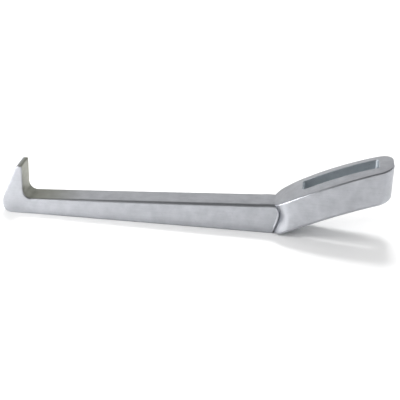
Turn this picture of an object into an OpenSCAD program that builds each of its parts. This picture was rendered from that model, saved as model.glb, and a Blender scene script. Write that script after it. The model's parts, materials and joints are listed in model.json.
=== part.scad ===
// Hooked tyre lever. The lever lies on the flat underside of its arm, with the hook at -X
// and the handle rising towards +X. The origin is under the middle of the overall box.

/* [Overall] */
// Length from the heel of the hook to the end of the handle
overall_l = 322; // [268:1:390]

/* [Hook] */
// Height of the hook's tip above the underside
hook_h = 43; // [35:0.5:52]
// Thickness of the hook's root, from the heel to the jaw face
hook_root_l = 18; // [15:0.5:22]
// Length of the flat land on the hook's tip
tip_l = 4.6; // [3:0.2:8]
// Radius of the heel under the hook
heel_r = 7.5; // [5:0.5:9]
// Radius of the hook's back, between the heel and the straight stretch
back_r = 22; // [16:1:28]
// Radius of the fillet in the corner of the jaw
jaw_r = 7; // [4:0.5:10]

/* [Arm] */
// Height of the arm at the jaw face
arm_h_jaw = 14; // [12:0.5:17]
// Height of the arm at the shoulder, where the handle starts
arm_h_bend = 26; // [23:0.5:31]
// Width of the arm at the jaw
arm_w_jaw = 21.5; // [18:0.5:25]
// Width of the arm at the shoulder
arm_w_bend = 24; // [21:0.5:28]

/* [Handle] */
// Length of the handle along X, from the shoulder to its end face
handle_l = 93; // [88:1:112]
// Upward slope of the handle at the shoulder, in degrees
slope_start = 31.5; // [29:0.5:34]
// Upward slope of the handle at its end, in degrees
slope_end = 15.5; // [11:0.5:19]
// Depth of the handle, straight down from its top edges
grip_h = 29; // [27:0.5:34]
// Width of the handle at its widest
grip_w = 40; // [37:0.5:48]
// Distance from the shoulder to the widest place
grip_wide_at = 41; // [34:1:48]
// Width of the handle just behind the shoulder
grip_w_start = 32; // [30:0.5:36]
// Width of the handle at its end, before the corners are rounded
grip_w_end = 35; // [33:0.5:40]
// Height of the crown across the handle's top
crown_h = 2.2; // [1:0.1:3.5]
// Height of the crown at the end face
crown_end_h = 0.4; // [0.2:0.1:0.8]
// Distance behind the shoulder over which the crown grows, and before the end over which it falls
crown_run = 12; // [9:1:18]
// Radius of the two upright corners at the handle's end
end_r = 11; // [4:0.5:11]
// Radius of the flare's corner behind the shoulder
flare_r = 7.5; // [3:0.5:9]
// Radius under the shoulder, where the underside turns up
belly_r = 24; // [12:1:30]

/* [Slot] */
// Width of the slot through the handle
slot_w = 17.5; // [13:0.5:20]
// Distance from the shoulder to the slot
slot_from = 22; // [20:0.5:26]
// Wall left between the slot and the end face
slot_end_wall = 12; // [9:0.5:15]
// Radius of the slot's corners
slot_r = 2; // [1.5:0.5:4]

/* [Joint] */
// Length of the arm's tang inside the handle
tang_l = 15; // [11:0.5:16]
// Width of the tang
tang_w = 13; // [10:0.5:15]
// Height of the tang
tang_h = 13; // [10:0.5:15]
// Gap between the tang and its socket, on every side
tang_gap = 0.1; // [0.05:0.05:0.3]
// Width of the weld bead, along the lever
bead_l = 4; // [3:0.5:6]
// Depth of the weld bead into the joint
bead_d = 3; // [2:0.5:4]

/* [Hidden] */
$fn = 96;
over = 10;           // how far a cutting solid runs past what it cuts
arm_colour = "#b9bdc4";
handle_colour = "#c4c8ce";
weld_colour = "#d8dbe0";

x_heel = -overall_l / 2;
x_end = overall_l / 2;
x_jaw = x_heel + hook_root_l;
x_shoulder = x_end - handle_l;
all_h = arm_h_bend + hook_h + handle_l;

// Arm: the top rises in a straight line from the jaw to the shoulder.
arm_rise = (arm_h_bend - arm_h_jaw) / (x_shoulder - x_jaw);
arm_angle = atan(arm_rise);
jaw_cx = x_jaw + jaw_r;
jaw_cz = arm_top(jaw_cx) + jaw_r / cos(arm_angle);

// Hook: a line from the tip touches the back's arc, which meets the heel's arc level with its centre.
tip_x = x_jaw - tip_l;
back_cx = x_heel + back_r;
back_from_tip = [tip_x - back_cx, hook_h - heel_r];
back_angle = atan2(back_from_tip.y, back_from_tip.x) + acos(back_r / norm(back_from_tip));

// Handle: the top edges follow an arc, and the underside is the same arc, grip_h lower.
top_r = handle_l / (sin(slope_start) - sin(slope_end));
arc_x = x_end + top_r * sin(slope_end);
arc_z = arm_h_bend - top_r * cos(slope_start);
crown_r = (pow(grip_w / 2, 2) + pow(crown_h, 2)) / (2 * crown_h);

// Belly: its arc touches the flat underside and the handle's lower arc.
belly_x = arc_x - sqrt(pow(top_r + belly_r, 2) - pow(belly_r - arc_z + grip_h, 2));
belly_turn = asin((arc_x - belly_x) / (top_r + belly_r));
belly_end = [belly_x + belly_r * sin(belly_turn), belly_r - belly_r * cos(belly_turn)];

// Plan of the handle: two arcs meet at the widest place, with their centres straight across from it.
x_wide = x_shoulder + grip_wide_at;
start_drop = (grip_w - grip_w_start) / 2;
end_drop = (grip_w - grip_w_end) / 2;
start_side_r = (pow(grip_wide_at, 2) + pow(start_drop, 2)) / (2 * start_drop);
end_side_r = (pow(handle_l - grip_wide_at, 2) + pow(end_drop, 2)) / (2 * end_drop);

// The crown grows from nothing at the shoulder, along a plane that leads up from the arm's top.
lead_rise = top_z(x_shoulder + crown_run) + crown_h - arm_h_bend;
lead_x = x_shoulder + (all_h - arm_h_bend) * crown_run / lead_rise;

// Towards the end the crown falls away, along a plane down to its height at the end face.
fall_z = top_z(x_end) + crown_end_h;
fall_slope = (fall_z - top_z(x_end - crown_run) - crown_h) / crown_run;

slot_x = x_shoulder + slot_from;
slot_l = handle_l - slot_from - slot_end_wall;

function arm_top(x) = arm_h_jaw + arm_rise * (x - x_jaw);
function top_z(x) = arc_z + sqrt(pow(top_r, 2) - pow(arc_x - x, 2));

// Points on an arc, from one angle to another
function arc(centre, r, from, to, steps) =
    [for (i = [0:steps]) let (a = from + (to - from) * i / steps) centre + r * [cos(a), sin(a)]];

// Turns a side outline, drawn in X and Z, into a solid as wide as given
module side_solid(width) {
    rotate([90, 0, 0])
        linear_extrude(height = width, center = true)
            children();
}

// Side outline of the hook and the arm, as far as the shoulder
module arm_side() {
    polygon(concat(
        arc([x_heel + heel_r, heel_r], heel_r, 270, 180, 12),
        arc([back_cx, heel_r], back_r, 180, back_angle, 8),
        [[tip_x, hook_h], [x_jaw, hook_h]],
        arc([jaw_cx, jaw_cz], jaw_r, 180, 270 + arm_angle, 12),
        [[x_shoulder, arm_h_bend], [x_shoulder, 0]]));
}

// The arm from above: a hook of one width, then a bar that widens to the shoulder
module arm_plan() {
    polygon([
        [x_heel - over, -arm_w_jaw / 2], [x_jaw, -arm_w_jaw / 2],
        [x_shoulder, -arm_w_bend / 2], [x_shoulder, arm_w_bend / 2],
        [x_jaw, arm_w_jaw / 2], [x_heel - over, arm_w_jaw / 2]]);
}

module arm_blank() {
    intersection() {
        side_solid(grip_w) arm_side();
        linear_extrude(height = all_h) arm_plan();
    }
}

// Side outline of the handle below its crown: the lead up from the shoulder, the fall to the upright
// end face, and the underside, which turns up round the belly
module handle_side() {
    difference() {
        intersection() {
            polygon([[x_shoulder, 0], [x_end, 0], [x_end, all_h], [lead_x, all_h], [x_shoulder, arm_h_bend]]);
            polygon([[x_shoulder, -over], [x_end, -over], [x_end, fall_z],
                [x_shoulder, fall_z - fall_slope * handle_l]]);
        }
        difference() {
            translate([arc_x, arc_z - grip_h]) circle(r = top_r, $fn = 720);
            translate([x_shoulder, -over]) square([belly_end.x - x_shoulder, all_h]);
        }
        difference() {
            translate([belly_x, -over]) square([belly_end.x - belly_x, over + belly_end.y]);
            translate([belly_x, belly_r]) circle(r = belly_r);
        }
    }
}

// Crown across the handle's top: a barrel turned about the top arc's own centre
module crown_barrel() {
    translate([arc_x, 0, arc_z])
        rotate([90, 0, 0])
            rotate_extrude($fn = 360)
                intersection() {
                    translate([top_r + crown_h - crown_r, 0]) circle(r = crown_r, $fn = 360);
                    translate([top_r / 2, -grip_w / 2 - over]) square([top_r, grip_w + 2 * over]);
                }
}

// The handle from above: its side arcs, with the flare's corners and the end's corners rounded
module handle_plan() {
    side_cy = grip_w / 2 - start_side_r;
    tail_cy = grip_w / 2 - end_side_r;
    flare_cx = x_shoulder + flare_r;
    flare_cy = side_cy + sqrt(pow(start_side_r - flare_r, 2) - pow(flare_cx - x_wide, 2));
    corner_cx = x_end - end_r;
    corner_cy = tail_cy + sqrt(pow(end_side_r - end_r, 2) - pow(corner_cx - x_wide, 2));
    flare_turn = atan2(flare_cy - side_cy, flare_cx - x_wide);
    corner_turn = atan2(corner_cy - tail_cy, corner_cx - x_wide);
    half = concat(
        arc([flare_cx, flare_cy], flare_r, 180, flare_turn, 8),
        arc([x_wide, side_cy], start_side_r, flare_turn, 90, 10),
        arc([x_wide, tail_cy], end_side_r, 90, corner_turn, 10),
        arc([corner_cx, corner_cy], end_r, corner_turn, 0, 10));
    polygon(concat(half, [for (i = [len(half) - 1:-1:0]) [half[i].x, -half[i].y]]));
}

module slot_plan() {
    inset = slot_r * 2;
    translate([slot_x, -slot_w / 2]) {
        translate([slot_r, 0]) square([slot_l - inset, slot_w]);
        translate([0, slot_r]) square([slot_l, slot_w - inset]);
        for (x = [slot_r, slot_l - slot_r], y = [slot_r, slot_w - slot_r])
            translate([x, y]) circle(r = slot_r);
    }
}

module handle_blank() {
    intersection() {
        side_solid(grip_w + over) handle_side();
        linear_extrude(height = all_h) handle_plan();
        crown_barrel();
    }
}

// Ring of weld metal round the shoulder: a slab along the joint without its core
module bead_ring() {
    core_w = arm_w_bend - 2 * bead_d;
    difference() {
        translate([x_shoulder - bead_l / 2, -grip_w / 2, -over])
            cube([bead_l, grip_w, all_h]);
        translate([x_shoulder - bead_l, -core_w / 2, bead_d])
            cube([2 * bead_l, core_w, arm_h_bend - 2 * bead_d]);
    }
}

// Tang on the arm's end; grown by the gap, it is also the socket that takes it
module tang(gap) {
    translate([x_shoulder, -tang_w / 2 - gap, (arm_h_bend - tang_h) / 2 - gap])
        cube([tang_l + gap, tang_w + 2 * gap, tang_h + 2 * gap]);
}

module hook_arm() {
    color(arm_colour) {
        difference() {
            arm_blank();
            bead_ring();
        }
        tang(0);
    }
}

module handle() {
    color(handle_colour)
        difference() {
            handle_blank();
            bead_ring();
            tang(tang_gap);
            translate([0, 0, -over]) linear_extrude(height = all_h) slot_plan();
        }
}

module joint_weld() {
    color(weld_colour)
        intersection() {
            bead_ring();
            union() {
                arm_blank();
                handle_blank();
            }
        }
}

hook_arm();
handle();
joint_weld();
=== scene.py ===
import json
import math

import bmesh
import bpy
from mathutils import Matrix, Vector


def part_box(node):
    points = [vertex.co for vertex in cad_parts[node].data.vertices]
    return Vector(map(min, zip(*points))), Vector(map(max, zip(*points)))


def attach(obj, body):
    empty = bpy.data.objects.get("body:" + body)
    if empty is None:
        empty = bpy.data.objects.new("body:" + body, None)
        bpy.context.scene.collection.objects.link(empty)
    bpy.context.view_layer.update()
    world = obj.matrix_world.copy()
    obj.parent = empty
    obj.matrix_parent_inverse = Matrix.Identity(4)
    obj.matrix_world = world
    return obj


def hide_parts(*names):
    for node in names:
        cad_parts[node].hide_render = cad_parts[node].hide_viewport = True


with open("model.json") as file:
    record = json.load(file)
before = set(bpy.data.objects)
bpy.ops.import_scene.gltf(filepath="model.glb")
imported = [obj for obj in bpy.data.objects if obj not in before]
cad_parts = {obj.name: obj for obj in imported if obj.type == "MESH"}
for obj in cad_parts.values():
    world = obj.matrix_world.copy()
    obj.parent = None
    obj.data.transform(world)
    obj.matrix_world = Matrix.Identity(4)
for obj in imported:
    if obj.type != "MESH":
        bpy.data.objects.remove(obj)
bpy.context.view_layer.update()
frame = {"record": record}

bl_info = {
    "name": "Hooked Tyre Lever",
    "version": (1, 0, 0),
    "blender": (4, 5, 0),
    "location": "3D View > Sidebar > Tyre Lever",
    "description": "Models a hooked tyre lever round its CAD frame: arm, handle, weld and studio",
    "category": "Add Mesh",
}

ARM_LOW, ARM_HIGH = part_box("hook_arm")
HANDLE_LOW, HANDLE_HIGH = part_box("handle")
JAW_X = next(m["pos_m"][0] for m in frame["record"]["mounts"] if m["name"] == "jaw_face")
MM = 0.001
SHARP = 0.7     # faces whose normals' dot product is less meet in an edge, not in a curve


def length(name, description, default):
    return bpy.props.FloatProperty(name=name, description=description, default=default,
                                   min=0.0, precision=5, subtype="DISTANCE", unit="LENGTH")


def colour(name, description, default):
    return bpy.props.StringProperty(name=name, description=description + ", as sRGB hex",
                                    default=default)


class LeverArmSizes(bpy.types.PropertyGroup):
    jaw_height: length("Height at jaw", "Height of the arm at the jaw face", 14 * MM)
    bend_height: length("Height at bend", "Height of the arm at the shoulder", 26 * MM)
    jaw_width: length("Width at jaw", "Width of the hook and of the arm beside it", 21.5 * MM)
    bend_width: length("Width at bend", "Width of the arm at the shoulder", 24 * MM)
    tip_land: length("Tip land", "Length of the flat land on the hook's tip", 4.6 * MM)
    heel_radius: length("Heel radius", "Radius of the heel under the hook", 7.5 * MM)
    back_radius: length("Back radius", "Radius of the hook's back above the heel", 22 * MM)
    jaw_radius: length("Jaw radius", "Radius of the fillet in the jaw's corner", 7 * MM)
    top_edge_bend: length("Top edge at bend", "Rounding of the arm's top edges at the bend", 2.8 * MM)
    top_edge_jaw: length("Top edge at jaw", "Rounding of the arm's top edges at the jaw", 2.1 * MM)
    low_edge: length("Low edge", "Rounding of the arm's bottom edges", 2.2 * MM)
    hook_edge: length("Hook edge", "Rounding of the hook's edges", 1.1 * MM)
    tang_length: length("Tang length", "Length of the tang inside the handle", 15 * MM)
    tang_side: length("Tang side", "Width and height of the tang", 13 * MM)


class LeverHandleSizes(bpy.types.PropertyGroup):
    slope_start: bpy.props.FloatProperty(name="Slope at shoulder", subtype="ANGLE",
                                         description="Upward slope of the handle at the shoulder",
                                         default=math.radians(31.5))
    slope_end: bpy.props.FloatProperty(name="Slope at end", subtype="ANGLE",
                                       description="Upward slope of the handle at its end",
                                       default=math.radians(15.5))
    depth: length("Depth", "Depth of the handle, straight down from its top edges", 29 * MM)
    wide_at: length("Widest at", "Distance from the shoulder to the widest place", 41 * MM)
    start_width: length("Start width", "Width just behind the shoulder", 31.5 * MM)
    end_width: length("End width", "Width at the end, before the corners are rounded", 35 * MM)
    crown: length("Crown", "Height of the crown across the top", 2.2 * MM)
    crown_run: length("Crown run", "Distance behind the shoulder over which the crown grows", 20 * MM)
    flare_reach: length("Flare reach", "Distance over which the flare's corners turn", 12 * MM)
    end_radius: length("End radius", "Radius of the end's upright corners", 11 * MM)
    belly_radius: length("Belly radius", "Radius under the shoulder", 24 * MM)
    top_edge: length("Top edge", "Rounding of the handle's top edges", 1.2 * MM)
    low_edge: length("Low edge", "Rounding of the handle's bottom edges", 3.0 * MM)
    slot_width: length("Slot width", "Width of the slot", 17.4 * MM)
    slot_from: length("Slot from", "Distance from the shoulder to the slot", 22 * MM)
    slot_wall: length("Slot wall", "Wall between the slot and the end face", 12 * MM)
    slot_radius: length("Slot radius", "Radius of the slot's upright corners", 2 * MM)
    slot_edge: length("Slot edge", "Rounding of the slot's rims", 0.6 * MM)
    socket_gap: length("Socket gap", "Gap round the tang", 0.1 * MM)
    seam_sway: length("Seam sway", "How far the joint line sways towards the handle", 4.0 * MM)
    seam_peak: length("Seam peak", "Height at which the joint line is furthest out", 17.5 * MM)
    seam_return: length("Seam return", "Height over which the joint line turns back", 10 * MM)


class LeverWeldSizes(bpy.types.PropertyGroup):
    bead_radius: length("Bead radius", "Radius of the bead's section", 1.3 * MM)
    proud: length("Proud", "How far the bead stands out of the arm's sides", 0.6 * MM)
    dressed: length("Dressed", "How far the bead lies under the top and the underside", 0.5 * MM)
    back_set: length("Back set", "How far the bead's middle lies from the joint line", 0.1 * MM)
    ripple: length("Ripple", "Unevenness of the bead", 0.06 * MM)
    squareness: bpy.props.FloatProperty(name="Squareness", default=0.3, min=0.1, max=1.0,
                                        description="How squarely the bead goes round the corners")


class LeverFinish(bpy.types.PropertyGroup):
    light: colour("Light", "Colour of the linished metal where it is brightest", "BCBEC3")
    dark: colour("Dark", "Colour of the linished metal where it is dullest", "A9ABB0")
    # The skin colours are partly the cast skin's own and partly a painted dark reflection: their dull
    # olive stands in for the dark surroundings that the hook's inside reflects.
    skin_light_and_painted_reflection: colour("Cast skin, light", "Colour of the cast skin", "A6A79E")
    skin_dark_and_painted_reflection: colour("Cast skin, dark", "Colour of the cast skin in its hollows", "8A8B82")
    # The slot colours are painted light. Paler and bluer than the metal, they make up for the shade
    # inside the slot and paint the blue-grey reflection on its far wall; only the slot's added
    # roughness and sand grain are the cast skin's own.
    slot_painted_light_pale: colour("Slot skin, light", "Colour of the slot's walls", "D2D8DC")
    slot_painted_light_dull: colour("Slot skin, dark", "Colour of the slot's walls in their hollows", "BCC3C9")
    pit: colour("Pits", "Colour inside the casting pits", "9A9CA0")
    roughness: bpy.props.FloatProperty(name="Roughness", default=0.34, min=0.0, max=1.0,
                                       description="Mean roughness of the linished metal")
    sheen: bpy.props.FloatProperty(name="Sheen", default=0.7, min=0.0, max=1.0,
                                   description="How far the sheen is drawn out across the belt")
    relief: bpy.props.FloatProperty(name="Relief", default=0.35, min=0.0, max=1.0,
                                    description="Strength of the streaks' and pits' relief")
    run: bpy.props.FloatVectorProperty(
        name="Belt run", size=3, default=(1 / (30 * MM), 1 / (0.8 * MM), 1 / (0.8 * MM)),
        description="How often the streaks repeat in a metre along each axis")


class LeverStudio(bpy.types.PropertyGroup):
    view_height: bpy.props.FloatProperty(name="View height", subtype="ANGLE",
                                         description="How far the camera looks down",
                                         default=math.radians(24.6))
    view_turn: bpy.props.FloatProperty(name="View turn", subtype="ANGLE",
                                       description="How far the camera looks towards the hook",
                                       default=math.radians(6.3))
    view_roll: bpy.props.FloatProperty(name="View roll", subtype="ANGLE",
                                       description="Roll of the camera",
                                       default=math.radians(1.8))
    distance: length("Distance", "Distance from the camera to the lever", 0.8178)
    lens: bpy.props.FloatProperty(name="Lens", default=88.2, description="Focal length in mm")
    aim_x: length("Aim along", "Where the camera looks, along the lever", 5.8 * MM)
    aim_z: length("Aim height", "Where the camera looks, above the floor", 20.1 * MM)
    floor: colour("Floor", "Colour of the floor", "F4F4F4")
    walls: colour("Walls", "Colour of the studio round the lever", "787878")


# --- shared geometry -------------------------------------------------------------------------

def seam_x(z):
    """Where the joint line runs at a height: it sways out, is furthest at seam_peak and turns
    back towards the top."""
    handle = bpy.context.scene.lever_handle
    rise = min(z / handle.seam_peak, 1.0)
    fall = max(z - handle.seam_peak, 0.0) / handle.seam_return
    share = (1.0 - math.cos(math.pi * rise)) * (1.0 + math.cos(math.pi * min(fall, 1.0))) / 4
    return HANDLE_LOW.x + handle.seam_sway * share


def arm_line(x):
    """Height of the arm's straight top at x."""
    arm = bpy.context.scene.lever_arm
    share = (x - JAW_X) / (HANDLE_LOW.x - JAW_X)
    return arm.jaw_height + (arm.bend_height - arm.jaw_height) * share


def arc_frame():
    """Centre and radius of the arc that the handle's top edges follow."""
    handle = bpy.context.scene.lever_handle
    run = HANDLE_HIGH.x - HANDLE_LOW.x
    radius = run / (math.sin(handle.slope_start) - math.sin(handle.slope_end))
    centre_x = HANDLE_HIGH.x + radius * math.sin(handle.slope_end)
    centre_z = bpy.context.scene.lever_arm.bend_height - radius * math.cos(handle.slope_start)
    return centre_x, centre_z, radius


def top_edge_z(x):
    """Height of the handle's top edges at x."""
    centre_x, centre_z, radius = arc_frame()
    return centre_z + math.sqrt(radius ** 2 - (centre_x - x) ** 2)


def underside_z(x):
    """Height of the handle's underside at x: flat, then up round the belly, then the arc."""
    handle = bpy.context.scene.lever_handle
    centre_x, centre_z, radius = arc_frame()
    low_z = centre_z - handle.depth
    belly = handle.belly_radius
    belly_x = centre_x - math.sqrt((radius + belly) ** 2 - (belly - low_z) ** 2)
    turn = math.asin((centre_x - belly_x) / (radius + belly))
    if x <= belly_x:
        return 0.0
    if x <= belly_x + belly * math.sin(turn):
        return belly - math.sqrt(belly ** 2 - (x - belly_x) ** 2)
    return low_z + math.sqrt(radius ** 2 - (centre_x - x) ** 2)


def blend(low, high, x):
    """Smooth step from 0 at low to 1 at high."""
    t = min(max((x - low) / (high - low), 0.0), 1.0)
    return t * t * (3.0 - 2.0 * t)


# --- modelling helpers -----------------------------------------------------------------------

def start_piece(name):
    """Names the primitive just added, bakes its place into its mesh and opens it for editing."""
    piece = bpy.context.active_object
    piece.name = name
    piece.data.name = name
    bpy.ops.object.transform_apply(location=True, rotation=True, scale=True)
    bpy.ops.object.mode_set(mode="EDIT")
    return piece


def clear_selection():
    if bpy.context.mode != "OBJECT":
        bpy.ops.object.mode_set(mode="OBJECT")
    bpy.ops.object.select_all(action="DESELECT")


def pick_points(piece, test):
    """Selects the points for which test is true, and whatever faces they close."""
    bpy.ops.mesh.select_mode(type="VERT")
    shape = bmesh.from_edit_mesh(piece.data)
    for point in shape.verts:
        point.select_set(False)
    for point in shape.verts:
        if test(point.co):
            point.select_set(True)
    shape.select_flush(True)
    bmesh.update_edit_mesh(piece.data)


def pick_faces(piece, test):
    """Selects the faces for which test is true."""
    bpy.ops.mesh.select_mode(type="FACE")
    shape = bmesh.from_edit_mesh(piece.data)
    shape.normal_update()
    for face in shape.faces:
        face.select_set(False)
    for face in shape.faces:
        if test(face):
            face.select_set(True)
    bmesh.update_edit_mesh(piece.data)


def move(offset):
    bpy.ops.transform.translate(value=offset)


def stretch(factors, centre):
    bpy.ops.transform.resize(value=factors, center_override=centre)


def extrude(offset):
    bpy.ops.mesh.extrude_region_move(TRANSFORM_OT_translate={"value": offset})


def face_outward():
    """Turns all of the piece's faces outward."""
    bpy.ops.mesh.select_all(action="SELECT")
    bpy.ops.mesh.normals_make_consistent(inside=False)


def soften_edges(piece, rounding, segments):
    """Rounds each edge by its own radius. rounding(edge) gives the radius in metres, or 0."""
    bpy.ops.object.mode_set(mode="OBJECT")
    shape = bmesh.new()
    shape.from_mesh(piece.data)
    shape.normal_update()
    weight = shape.edges.layers.float.new("bevel_weight_edge")
    radii = {edge: rounding(edge) for edge in shape.edges}
    widest = max(radii.values())
    for edge, radius in radii.items():
        edge[weight] = radius / widest
    shape.to_mesh(piece.data)
    shape.free()
    bevel = piece.modifiers.new("Rounded edges", "BEVEL")
    bevel.limit_method = "WEIGHT"
    bevel.width = widest
    bevel.segments = segments
    bevel.use_clamp_overlap = False
    bpy.ops.object.modifier_apply(modifier=bevel.name)


def shade_faces(piece):
    """Shades the piece smooth, with the large faces kept flat and the turn left to the edges."""
    bpy.ops.object.shade_smooth_by_angle(angle=math.radians(40))
    level = piece.modifiers.new("Flat faces", "WEIGHTED_NORMAL")
    level.keep_sharp = True
    bpy.ops.object.modifier_apply(modifier=level.name)


# --- the hook arm ----------------------------------------------------------------------------

def hook_outline():
    """Centre of the jaw's fillet, a function for how far the hook's outside is from it in a
    direction, and a function for where the hook's straight back is at a height."""
    arm = bpy.context.scene.lever_arm
    tilt = math.atan2(arm.bend_height - arm.jaw_height, HANDLE_LOW.x - JAW_X)
    centre_x = JAW_X + arm.jaw_radius
    centre = Vector((centre_x, arm_line(centre_x) + arm.jaw_radius / math.cos(tilt)))
    heel = Vector((ARM_LOW.x + arm.heel_radius, arm.heel_radius))
    back = Vector((ARM_LOW.x + arm.back_radius, arm.heel_radius))
    tip = Vector((JAW_X - arm.tip_land, ARM_HIGH.z))
    from_back = tip - back
    touch = math.atan2(from_back.y, from_back.x) + math.acos(arm.back_radius / from_back.length)
    normal = Vector((math.cos(touch), math.sin(touch)))

    def circle_hit(direction, middle, radius):
        along = (middle - centre).dot(direction)
        off = (middle - centre).length_squared - along ** 2
        return along + math.sqrt(max(radius ** 2 - off, 0.0))

    def reach(direction):
        if direction.y < 0.0:
            floor = -centre.y / direction.y
            if centre.x + floor * direction.x >= heel.x:
                return floor
            round_heel = circle_hit(direction, heel, arm.heel_radius)
            if centre.y + round_heel * direction.y <= heel.y:
                return round_heel
            round_back = circle_hit(direction, back, arm.back_radius)
            if centre.y + round_back * direction.y <= back.y + arm.back_radius * normal.y:
                return round_back
        return (tip - centre).dot(normal) / direction.dot(normal)

    def back_x(z):
        return tip.x - (z - tip.y) * normal.y / normal.x

    return centre, reach, back_x


def model_hook_arm():
    """Sweeps the arm's section along the bar, round the jaw and up the hook."""
    arm = bpy.context.scene.lever_arm
    clear_selection()
    start_x = HANDLE_LOW.x
    bpy.ops.mesh.primitive_grid_add(
        x_subdivisions=4, y_subdivisions=4, size=1.0, rotation=(0.0, math.pi / 2, 0.0),
        location=(start_x, 0.0, arm.bend_height / 2))
    piece = start_piece("HookArm")
    stretch((1.0, arm.bend_width, arm.bend_height), (start_x, 0.0, arm.bend_height / 2))

    # The joint face sways with the joint line.
    for level in range(5):
        z = arm.bend_height * level / 4
        pick_points(piece, lambda co: abs(co.z - z) < 0.1 * MM)
        move((seam_x(z) - start_x, 0.0, 0.0))
    pick_points(piece, lambda co: True)

    # The bar: past the swaying face the section shrinks in a straight taper to the jaw's fillet.
    centre, reach, back_x = hook_outline()
    bar_x = start_x - 6 * MM
    last_x = bar_x
    last_height = arm.bend_height
    last_width = arm.bend_width
    stations = 32
    extrude((last_x - start_x, 0.0, 0.0))
    stretch((0.0, 1.0, 1.0), (last_x, 0.0, 0.0))
    for step in range(1, stations + 1):
        x = bar_x + (centre.x - bar_x) * step / stations
        taper = (start_x - x) / (start_x - JAW_X)
        height = centre.y - arm.jaw_radius if step == stations else arm_line(x)
        width = arm.bend_width + (arm.jaw_width - arm.bend_width) * taper
        extrude((x - last_x, 0.0, 0.0))
        stretch((1.0, width / last_width, height / last_height), (x, 0.0, 0.0))
        last_x, last_height, last_width = x, height, width

    # The jaw: the section turns about the fillet's centre and reaches out to heel and back. The
    # turns are closer together where the heel's arc is.
    turns = [*range(-97, -127, -7), *range(-129, -153, -2), *range(-155, -181, -5)]
    last_turn = -90
    last_length = last_height
    for turn in turns:
        direction = Vector((math.cos(math.radians(turn)), math.sin(math.radians(turn))))
        inner = centre + arm.jaw_radius * direction
        section = reach(direction) - arm.jaw_radius
        extrude((0.0, 0.0, 0.0))
        bpy.ops.transform.rotate(value=math.radians(turn - last_turn), orient_axis="Y",
                                 center_override=(centre.x, 0.0, centre.y))
        grow = section / last_length
        stretch((grow, 1.0, grow), (inner.x, 0.0, inner.y))
        last_turn, last_length = turn, section

    # The hook: the section climbs and thins to the land on the tip.
    rise = 6
    for step in range(1, rise + 1):
        z = centre.y + (ARM_HIGH.z - centre.y) * step / rise
        section = JAW_X - back_x(z)
        extrude((0.0, 0.0, (ARM_HIGH.z - centre.y) / rise))
        stretch((section / last_length, 1.0, 1.0), (JAW_X, 0.0, 0.0))
        last_length = section

    # The tang: the middle of the joint face runs on into the handle.
    pick_faces(piece, lambda face: min(p.co.x for p in face.verts) > start_x - 1 * MM)
    extrude((0.0, 0.0, 0.0))
    stretch((1.0, arm.tang_side / arm.bend_width, arm.tang_side / arm.bend_height),
            (0.0, 0.0, arm.bend_height / 2))
    extrude((arm.tang_length, 0.0, 0.0))
    stretch((0.0, 1.0, 1.0), (start_x + arm.tang_length, 0.0, 0.0))
    face_outward()

    def rounding(edge):
        one, two = (face.normal for face in edge.link_faces)
        middle = (edge.verts[0].co + edge.verts[1].co) / 2
        if one.dot(two) > SHARP or middle.x > start_x - 1 * MM:
            return 0.0
        if middle.z > ARM_HIGH.z - 0.1 * MM:
            return arm.hook_edge
        face = min((one, two), key=lambda normal: abs(normal.y))
        bar_edge = arm.low_edge
        if face.x + face.z > 0.0:
            share = (middle.x - JAW_X) / (start_x - JAW_X)
            bar_edge = arm.top_edge_jaw + (arm.top_edge_bend - arm.top_edge_jaw) * share
        away = blend(JAW_X, JAW_X + 2 * arm.jaw_radius, middle.x)
        return arm.hook_edge + (bar_edge - arm.hook_edge) * away

    soften_edges(piece, rounding, 6)
    shade_faces(piece)
    return piece


# --- the handle ------------------------------------------------------------------------------

def handle_half_width(x):
    """Half the handle's width at x: two arcs that meet at the widest place."""
    handle = bpy.context.scene.lever_handle
    half = HANDLE_HIGH.y
    wide_x = HANDLE_LOW.x + handle.wide_at
    narrow = handle.start_width if x < wide_x else handle.end_width
    run = handle.wide_at if x < wide_x else HANDLE_HIGH.x - wide_x
    drop = half - narrow / 2
    radius = (run ** 2 + drop ** 2) / (2 * drop)
    return half - radius + math.sqrt(radius ** 2 - (x - wide_x) ** 2)


def handle_stations():
    """Where the handle's sections lie, from the shoulder to the end face."""
    handle = bpy.context.scene.lever_handle
    front, end = HANDLE_LOW.x, HANDLE_HIGH.x
    clear = handle.flare_reach + 1 * MM
    slot_start = front + handle.slot_from
    slot_end = end - handle.slot_wall
    ramp = [front + clear + (slot_start - front - clear) * step / 4 for step in range(4)]
    along = [slot_start + (slot_end - slot_start) * step / 14 for step in range(15)]
    return [front, *ramp, *along, end]


def pick_upright_edges(piece, test):
    """Selects the upright edges both of whose ends pass the test."""
    bpy.ops.mesh.select_mode(type="EDGE")
    shape = bmesh.from_edit_mesh(piece.data)
    for edge in shape.edges:
        edge.select_set(False)
    for edge in shape.edges:
        run = edge.verts[1].co - edge.verts[0].co
        upright = abs(run.z) > 0.9 * run.length
        edge.select_set(upright and all(test(point.co) for point in edge.verts))
    bmesh.update_edit_mesh(piece.data)


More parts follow.
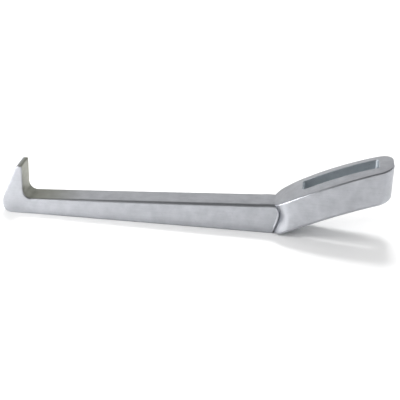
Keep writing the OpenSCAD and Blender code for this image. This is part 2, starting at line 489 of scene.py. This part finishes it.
def model_handle():
    """Shapes the top as a net of stations and rows, draws it down to the underside, then cuts
    the slot and the socket."""
    handle = bpy.context.scene.lever_handle
    arm = bpy.context.scene.lever_arm
    near = 0.01 * MM
    stations = handle_stations()
    count = len(stations)
    half_slot = handle.slot_width / 2
    clear_selection()
    bpy.ops.mesh.primitive_grid_add(x_subdivisions=count - 1, y_subdivisions=6, size=1.0)
    piece = start_piece("Handle")

    # The net is laid from the end towards the shoulder. Its rows close up at the end face, clear
    # of the rounded corners.
    end_row = 0.9 * (handle_half_width(stations[-1]) - handle.end_radius)
    for station in reversed(range(count)):
        start = station / (count - 1) - 0.5
        inner = end_row if station == count - 1 else half_slot
        for row, y in enumerate((0.0, inner / 2, inner, handle_half_width(stations[station]))):
            pick_points(piece, lambda co: abs(co.x - start) < 1e-4
                        and abs(abs(co.y) - row / 6) < 1e-4)
            if row:
                stretch((1.0, y * 6 / row, 1.0), (start, 0.0, 0.0))
            move((stations[station] - start, 0.0, 0.0))

    # A plain block is drawn down from the net, and its walls are divided in height.
    pick_faces(piece, lambda face: True)
    extrude((0.0, 0.0, -handle.depth))
    face_outward()
    pick_upright_edges(piece, lambda co: True)
    bpy.ops.mesh.subdivide(number_cuts=7)

    # The upright corners at the shoulder and at the end are rounded.
    # The flare's corner is squarer than a round one and runs out long.
    for x, radius, profile in ((stations[0], handle.flare_reach, 0.63),
                               (stations[-1], handle.end_radius, 0.5)):
        half = handle_half_width(x)
        pick_upright_edges(piece, lambda co: abs(co.x - x) < near and abs(co.y) > half - near)
        bpy.ops.mesh.bevel(offset=radius, segments=12, profile=profile, affect="EDGES")

    # The slot: its floor and roof are taken out and its walls bridged.
    slot_start = stations[0] + handle.slot_from
    slot_end = stations[-1] - handle.slot_wall

    def by_slot(co):
        return slot_start - near < co.x < slot_end + near and abs(co.y) < half_slot + near

    pick_faces(piece, lambda face: abs(face.normal.z) > 0.5
               and all(by_slot(point.co) for point in face.verts))
    bpy.ops.mesh.delete(type="FACE")
    bpy.ops.mesh.select_mode(type="EDGE")
    bpy.ops.mesh.select_all(action="DESELECT")
    bpy.ops.mesh.select_non_manifold()
    bpy.ops.mesh.bridge_edge_loops(number_cuts=4)
    pick_upright_edges(piece, lambda co: abs(abs(co.y) - half_slot) < near
                       and min(abs(co.x - slot_start), abs(co.x - slot_end)) < near)
    bpy.ops.mesh.bevel(offset=handle.slot_radius, segments=6, affect="EDGES")

    # Each upright column of the block is drawn out to the slope, the crown and the underside.
    shape = bmesh.from_edit_mesh(piece.data)
    for x, y in sorted({(round(p.co.x, 6), round(abs(p.co.y), 6)) for p in shape.verts}):
        pick_points(piece, lambda co: abs(co.x - x) < 1e-6 and abs(abs(co.y) - y) < 1e-6)
        crown = handle.crown * blend(stations[0], stations[0] + handle.crown_run, x)
        crown *= 1.0 - 0.8 * blend(stations[-1] - 1.5 * handle.end_radius, stations[-1], x)
        top = top_edge_z(x) + crown * (1.0 - (y / HANDLE_HIGH.y) ** 2)
        stretch((1.0, 1.0, (top - underside_z(x)) / handle.depth), (x, 0.0, 0.0))
        move((0.0, 0.0, top))

    # The shoulder sways with the joint line.
    shape = bmesh.from_edit_mesh(piece.data)
    still_x = stations[0] + 15 * MM
    for x, z in sorted({(p.co.x, p.co.z) for p in shape.verts if p.co.x < still_x}):
        pick_points(piece, lambda co: abs(co.x - x) < 1e-7 and abs(co.z - z) < 1e-7)
        move(((seam_x(z) - stations[0]) * (1.0 - blend(stations[0], still_x, x)), 0.0, 0.0))

    # The socket takes the tang with a small gap.
    pick_faces(piece, lambda face: face.normal.x < -0.8
               and all(abs(p.co.y) < half_slot + near for p in face.verts)
               and max(p.co.x for p in face.verts) < stations[0] + 2 * handle.seam_sway)
    socket = arm.tang_side + 2 * handle.socket_gap
    extrude((0.0, 0.0, 0.0))
    stretch((1.0, socket / handle.slot_width, socket / arm.bend_height),
            (0.0, 0.0, arm.bend_height / 2))
    extrude((arm.tang_length + handle.socket_gap, 0.0, 0.0))
    stretch((0.0, 1.0, 1.0), (stations[0] + arm.tang_length + handle.socket_gap, 0.0, 0.0))

    def rounding(edge):
        one, two = (face.normal for face in edge.link_faces)
        middle = (edge.verts[0].co + edge.verts[1].co) / 2
        if one.dot(two) > SHARP:
            return 0.0
        if by_slot(middle):
            return handle.slot_edge
        if middle.x < stations[1] and abs(middle.y) < arm.bend_width / 2:
            return 0.0
        return handle.top_edge if max(one.z, two.z) > 0.6 else handle.low_edge

    soften_edges(piece, rounding, 6)
    shade_faces(piece)
    return piece


# --- the joint weld --------------------------------------------------------------------------

def model_joint_weld():
    """A bead round the shoulder: a ring pulled out to the arm's own section, along the joint
    line. It stands a little proud of the sides and is dressed flush above and below."""
    arm = bpy.context.scene.lever_arm
    weld = bpy.context.scene.lever_weld
    clear_selection()
    rings = 96
    around = 12
    bpy.ops.mesh.primitive_torus_add(
        major_segments=rings, minor_segments=around, major_radius=arm.bend_height / 2,
        minor_radius=weld.bead_radius, rotation=(0.0, math.pi / 2, 0.0),
        location=(HANDLE_LOW.x, 0.0, arm.bend_height / 2))
    piece = start_piece("JointWeld")
    bpy.ops.mesh.select_mode(type="VERT")
    half_y = arm.bend_width / 2 - weld.bead_radius + weld.proud
    half_z = arm.bend_height / 2 - weld.bead_radius - weld.dressed
    for ring in range(rings):
        shape = bmesh.from_edit_mesh(piece.data)
        shape.verts.ensure_lookup_table()
        ring_points = shape.verts[ring * around:(ring + 1) * around]
        now = sum((p.co for p in ring_points), Vector()) / around
        for point in shape.verts:
            point.select_set(False)
        for point in ring_points:
            point.select_set(True)
        bmesh.update_edit_mesh(piece.data)
        turn = math.atan2(now.z - arm.bend_height / 2, now.y)
        y = half_y * math.copysign(abs(math.cos(turn)) ** weld.squareness, math.cos(turn))
        z = half_z * math.copysign(abs(math.sin(turn)) ** weld.squareness, math.sin(turn))
        z += arm.bend_height / 2
        ripple = weld.ripple * math.sin(ring * 2.1) * math.sin(ring * 0.7)
        move((seam_x(z) - weld.back_set - now.x, y + math.copysign(ripple, y) - now.y, z - now.z))
    bpy.ops.object.mode_set(mode="OBJECT")
    smooth = piece.modifiers.new("Smooth", "SUBSURF")
    smooth.levels = 1
    smooth.render_levels = 1
    bpy.ops.object.modifier_apply(modifier=smooth.name)
    shade_faces(piece)
    return piece


# --- materials -------------------------------------------------------------------------------

def linear(code):
    """Turns an sRGB hex code into the linear colour that a shader takes."""
    parts = [int(code[i:i + 2], 16) / 255 for i in (0, 2, 4)]
    return [*(p / 12.92 if p <= 0.04045 else ((p + 0.055) / 1.055) ** 2.4 for p in parts), 1.0]


def node(tree, kind, settings=None, inputs=None):
    """Adds a node, sets its settings and its inputs; an input that is a socket is linked."""
    made = tree.nodes.new(kind)
    for name, value in (settings or {}).items():
        setattr(made, name, value)
    for name, value in (inputs or {}).items():
        if isinstance(value, bpy.types.NodeSocket):
            tree.links.new(value, made.inputs[name])
        else:
            made.inputs[name].default_value = value
    return made


def steps_between(tree, value, low, high):
    """A soft mask: 0 where value is under low and 1 over high; low over high turns it round."""
    ramp = node(tree, "ShaderNodeMapRange", {"interpolation_type": "SMOOTHSTEP"},
                {"Value": value, "From Min": min(low, high), "From Max": max(low, high),
                 "To Min": float(low > high), "To Max": float(low < high)})
    return ramp.outputs["Result"]


def satin_cast_aluminium(name, finish, skin_and_painted_light_box, skin_dark_and_painted_reflection, skin_light_and_painted_reflection):
    """Sand-cast aluminium, linished by belt along the lever and left bare. The eye gets a soft
    grey sheen with faint streaks along the belt's run and a cloudy bloom, a few casting pits,
    and, inside the skin box, the duller and rougher cast skin that the belt didn't reach. Its two
    colours carry painted light too: a painted dark reflection inside the hook, and painted light
    with a painted blue-grey reflection on the slot's walls.
    skin_and_painted_light_box gives, for x, |y| and z, where the skin starts and where it is full, on
    each side."""
    material = bpy.data.materials.new(name)
    material.use_nodes = True
    tree = material.node_tree
    tree.nodes.clear()
    place = node(tree, "ShaderNodeTexCoord").outputs["Object"]
    axes = node(tree, "ShaderNodeSeparateXYZ", inputs={"Vector": place})
    across = node(tree, "ShaderNodeMath", {"operation": "ABSOLUTE"}, {0: axes.outputs["Y"]})

    # Streaks: the real grit lines are 0.1 mm apart; they are drawn 0.8 mm apart to show.
    belt_run = node(tree, "ShaderNodeMapping", inputs={"Vector": place, "Scale": finish.run})
    streaks = node(tree, "ShaderNodeTexNoise", inputs={
        "Vector": belt_run.outputs["Vector"], "Scale": 1.0, "Detail": 3.0, "Roughness": 0.6})
    # Bloom: cloudy patches 9 mm across, with finer ones in them.
    bloom = node(tree, "ShaderNodeTexNoise", inputs={
        "Vector": place, "Scale": 1 / (9 * MM), "Detail": 4.0, "Roughness": 0.62})
    # Pits: pinholes of the casting, under 1 mm across and some 5 mm apart.
    pits = node(tree, "ShaderNodeTexVoronoi", inputs={
        "Vector": place, "Scale": 1 / (4.5 * MM), "Randomness": 1.0})
    pit_mask = steps_between(tree, pits.outputs["Distance"], 0.09, 0.03)

    # The skin mask places the cast skin's roughness and grain, and with them the painted light that
    # the skin colours carry.
    skin = None
    for value, edges in zip((axes.outputs["X"], across.outputs["Value"], axes.outputs["Z"]),
                            skin_and_painted_light_box):
        for low, high in edges:
            part = steps_between(tree, value, low, high)
            if skin is not None:
                part = node(tree, "ShaderNodeMath", {"operation": "MULTIPLY"},
                            {0: skin, 1: part}).outputs["Value"]
            skin = part

    grain = node(tree, "ShaderNodeMath", {"operation": "MULTIPLY_ADD"}, {
        0: streaks.outputs["Fac"], 1: 0.45, 2: bloom.outputs["Fac"]})
    shade = node(tree, "ShaderNodeMapRange", inputs={
        "Value": grain.outputs["Value"], "From Min": 0.45, "From Max": 1.0})
    linished = node(tree, "ShaderNodeMix", {"data_type": "RGBA"}, {
        0: shade.outputs["Result"], 6: linear(finish.dark), 7: linear(finish.light)})
    # Skin colours are partly the cast skin's own and partly painted: a painted dark reflection inside
    # the hook, and painted light with a painted blue-grey reflection in the slot.
    cast = node(tree, "ShaderNodeMix", {"data_type": "RGBA"}, {
        0: bloom.outputs["Fac"], 6: linear(skin_dark_and_painted_reflection), 7: linear(skin_light_and_painted_reflection)})
    bare = node(tree, "ShaderNodeMix", {"data_type": "RGBA"}, {
        0: skin, 6: linished.outputs[2], 7: cast.outputs[2]})
    pitted = node(tree, "ShaderNodeMix", {"data_type": "RGBA"}, {
        0: pit_mask, 6: bare.outputs[2], 7: linear(finish.pit)})

    satin = node(tree, "ShaderNodeMapRange", inputs={
        "Value": grain.outputs["Value"], "From Min": 0.45, "From Max": 1.0,
        "To Min": finish.roughness + 0.05, "To Max": finish.roughness - 0.05})
    rough = node(tree, "ShaderNodeMath", {"operation": "MULTIPLY_ADD"}, {
        0: skin, 1: 0.14, 2: satin.outputs["Result"]})

    # Relief: streaks a hundredth of a millimetre deep, and the sand's own grain on the skin.
    sand = node(tree, "ShaderNodeTexNoise", inputs={
        "Vector": place, "Scale": 1 / (1.6 * MM), "Detail": 3.0, "Roughness": 0.6})
    relief = node(tree, "ShaderNodeMix", {"data_type": "FLOAT"}, {
        0: skin, 2: streaks.outputs["Fac"], 3: sand.outputs["Fac"]})
    sunk = node(tree, "ShaderNodeMath", {"operation": "MULTIPLY_ADD"}, {
        0: pit_mask, 1: -0.8, 2: relief.outputs[0]})
    bump = node(tree, "ShaderNodeBump", inputs={
        "Height": sunk.outputs["Value"], "Distance": 0.1 * MM, "Strength": finish.relief})
    # Belt lines run along the lever, so the sheen is drawn out across them.
    across_belt = node(tree, "ShaderNodeCombineXYZ", inputs={"X": 0.0, "Y": 1.0, "Z": 1.0})

    shader = node(tree, "ShaderNodeBsdfPrincipled", inputs={
        "Base Color": pitted.outputs[2], "Metallic": 1.0, "Roughness": rough.outputs["Value"],
        "Anisotropic": finish.sheen, "Tangent": across_belt.outputs["Vector"],
        "Normal": bump.outputs["Normal"]})
    node(tree, "ShaderNodeOutputMaterial", inputs={"Surface": shader.outputs["BSDF"]})
    return material


# --- operators -------------------------------------------------------------------------------

class LEVER_OT_hook_arm(bpy.types.Operator):
    """Models the hook, the arm and its tang"""
    bl_idname = "lever.hook_arm"
    bl_label = "Hook arm"

    def execute(self, context):
        arm = context.scene.lever_arm
        piece = model_hook_arm()
        side = arm.jaw_width / 2
        # The hook's inside, its tip land and the arm's top by the jaw take the skin colours. This is
        # partly the cast skin that the belt missed and partly a painted dark reflection: darker olive
        # in place of the dark surroundings that the hook's inside reflects.
        jaw_skin_and_painted_reflection = (
            ((JAW_X - arm.tip_land, JAW_X - 0.3 * arm.tip_land), (JAW_X + 60 * MM, JAW_X + 8 * MM)),
            ((side, side - 1.4 * MM),),
            ((arm.jaw_height * 0.6, arm.jaw_height * 0.9),))
        finish = context.scene.lever_finish
        piece.data.materials.append(satin_cast_aluminium(
            "Linished cast aluminium, arm", finish, jaw_skin_and_painted_reflection, finish.skin_dark_and_painted_reflection, finish.skin_light_and_painted_reflection))
        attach(piece, "root")
        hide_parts("hook_arm")
        return {"FINISHED"}


class LEVER_OT_handle(bpy.types.Operator):
    """Models the handle with its slot and socket"""
    bl_idname = "lever.handle"
    bl_label = "Handle"

    def execute(self, context):
        handle = context.scene.lever_handle
        piece = model_handle()
        start = HANDLE_LOW.x + handle.slot_from
        end = HANDLE_HIGH.x - handle.slot_wall
        side = handle.slot_width / 2
        lip = handle.slot_edge
        # The slot's walls take painted light: colours paler and bluer than the metal stand in for
        # light inside the slot's shade and for a painted blue-grey reflection.
        slot_skin_and_painted_light = (((start - lip, start), (end + lip, end)), ((side + lip, side),), ())
        finish = context.scene.lever_finish
        piece.data.materials.append(satin_cast_aluminium(
            "Linished cast aluminium, handle", finish, slot_skin_and_painted_light, finish.slot_painted_light_dull,
            finish.slot_painted_light_pale))
        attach(piece, "root")
        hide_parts("handle")
        return {"FINISHED"}


class LEVER_OT_joint_weld(bpy.types.Operator):
    """Models the weld bead round the shoulder"""
    bl_idname = "lever.joint_weld"
    bl_label = "Joint weld"

    def execute(self, context):
        piece = model_joint_weld()
        top = context.scene.lever_arm.bend_height
        dull_below = ((), (), ((0.1 * top, 0.0),))
        finish = context.scene.lever_finish
        piece.data.materials.append(satin_cast_aluminium(
            "Dressed aluminium weld", finish, dull_below, finish.skin_dark_and_painted_reflection, finish.skin_light_and_painted_reflection))
        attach(piece, "root")
        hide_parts("joint_weld")
        return {"FINISHED"}


def add_panel(name, place, target, size, radiance, in_reflections):
    """Adds a soft light panel of a given radiance, turned towards target. One that isn't in
    reflections lights the floor but not the metal."""
    light = bpy.data.lights.new(name, "AREA")
    light.shape = "RECTANGLE"
    light.size, light.size_y = size
    light.energy = radiance * math.pi * light.size * light.size_y
    lamp = bpy.data.objects.new(name, light)
    bpy.context.scene.collection.objects.link(lamp)
    lamp.location = place
    lamp.rotation_euler = (Vector(target) - Vector(place)).to_track_quat("-Z", "Y").to_euler()
    lamp.visible_glossy = in_reflections
    lamp.visible_camera = False


class LEVER_OT_studio(bpy.types.Operator):
    """Adds the floor, the lights and the camera"""
    bl_idname = "lever.studio"
    bl_label = "Studio"

    def execute(self, context):
        studio = context.scene.lever_studio
        clear_selection()
        bpy.ops.mesh.primitive_plane_add(size=12.0, location=(0.0, 0.0, 0.0))
        floor = context.active_object
        floor.name = "Floor"
        paper = bpy.data.materials.new("White paper floor")
        paper.use_nodes = True
        tree = paper.node_tree
        tree.nodes.clear()
        matt = node(tree, "ShaderNodeBsdfDiffuse", inputs={"Color": linear(studio.floor)})
        node(tree, "ShaderNodeOutputMaterial", inputs={"Surface": matt.outputs["BSDF"]})
        floor.data.materials.append(paper)

        # The first four light the floor alone; the others also show in the metal.
        add_panel("Key", (0.0, 1.0, 1.75), (0.0, 0.0, 0.0), (0.5, 0.5), 30.0, False)
        add_panel("Overhead", (0.0, 0.0, 2.2), (0.0, 0.0, 0.0), (3.0, 3.0), 0.6, False)
        add_panel("Front fill", (-0.2, -1.2, 1.0), (0.0, 0.0, 0.0), (0.8, 0.5), 1.0, False)
        add_panel("Floor left", (-0.5, -0.35, 0.6), (-0.15, -0.1, 0.0), (0.4, 0.4), 3.0, False)
        add_panel("Back", (0.0, 1.6, 1.0), (0.0, 0.0, 0.1), (3.4, 1.9), 0.72, True)
        add_panel("Front left", (-0.69, -0.94, 0.3), (0.0, 0.0, 0.03), (0.3, 0.6), 11.0, True)
        add_panel("Left", (-0.9, -0.3, 0.3), (0.0, 0.0, 0.03), (0.6, 0.6), 5.0, True)
        add_panel("Right", (1.1, 0.1, 0.25), (0.1, 0.0, 0.03), (0.09, 0.5), 6.0, True)

        world = bpy.data.worlds.new("Studio")
        context.scene.world = world
        world.use_nodes = True
        background = world.node_tree.nodes["Background"]
        background.inputs["Color"].default_value = linear(studio.walls)
        background.inputs["Strength"].default_value = 1.0

        lens = bpy.data.cameras.new("Camera")
        lens.lens = studio.lens
        lens.sensor_width = 36.0
        camera = bpy.data.objects.new("Camera", lens)
        context.scene.collection.objects.link(camera)
        forward = Vector((-math.sin(studio.view_turn) * math.cos(studio.view_height),
                          math.cos(studio.view_turn) * math.cos(studio.view_height),
                          -math.sin(studio.view_height)))
        level = Vector((forward.y, -forward.x, 0.0)).normalized()
        upward = level.cross(forward)
        turn = studio.view_roll
        right = level * math.cos(turn) + upward * math.sin(turn)
        above = upward * math.cos(turn) - level * math.sin(turn)
        place = Vector((studio.aim_x, 0.0, studio.aim_z)) - forward * studio.distance
        basis = Matrix((right, above, -forward)).transposed()
        camera.matrix_world = Matrix.Translation(place) @ basis.to_4x4()
        context.scene.camera = camera
        context.scene.view_settings.view_transform = "Standard"
        return {"FINISHED"}


class LEVER_PT_panel(bpy.types.Panel):
    """Lists the lever's pieces in the sidebar"""
    bl_idname = "LEVER_PT_panel"
    bl_label = "Tyre Lever"
    bl_space_type = "VIEW_3D"
    bl_region_type = "UI"
    bl_category = "Tyre Lever"

    def draw(self, context):
        for operator in OPERATORS:
            self.layout.operator(operator.bl_idname)
        for group in GROUPS:
            box = self.layout.box()
            settings = getattr(context.scene, group)
            for name in settings.bl_rna.properties.keys():
                if name not in {"rna_type", "name"}:
                    box.prop(settings, name)


OPERATORS = (LEVER_OT_hook_arm, LEVER_OT_handle, LEVER_OT_joint_weld, LEVER_OT_studio)
GROUPS = {"lever_arm": LeverArmSizes, "lever_handle": LeverHandleSizes,
          "lever_weld": LeverWeldSizes, "lever_finish": LeverFinish, "lever_studio": LeverStudio}


def register():
    for group in GROUPS.values():
        bpy.utils.register_class(group)
    for name, group in GROUPS.items():
        setattr(bpy.types.Scene, name, bpy.props.PointerProperty(type=group))
    for operator in (*OPERATORS, LEVER_PT_panel):
        bpy.utils.register_class(operator)


def unregister():
    for operator in (*OPERATORS, LEVER_PT_panel):
        bpy.utils.unregister_class(operator)
    for name, group in GROUPS.items():
        delattr(bpy.types.Scene, name)
        bpy.utils.unregister_class(group)


def main():
    register()
    bpy.ops.lever.hook_arm()
    bpy.ops.lever.handle()
    bpy.ops.lever.joint_weld()
    bpy.ops.lever.studio()


if __name__ == "__main__":
    main()
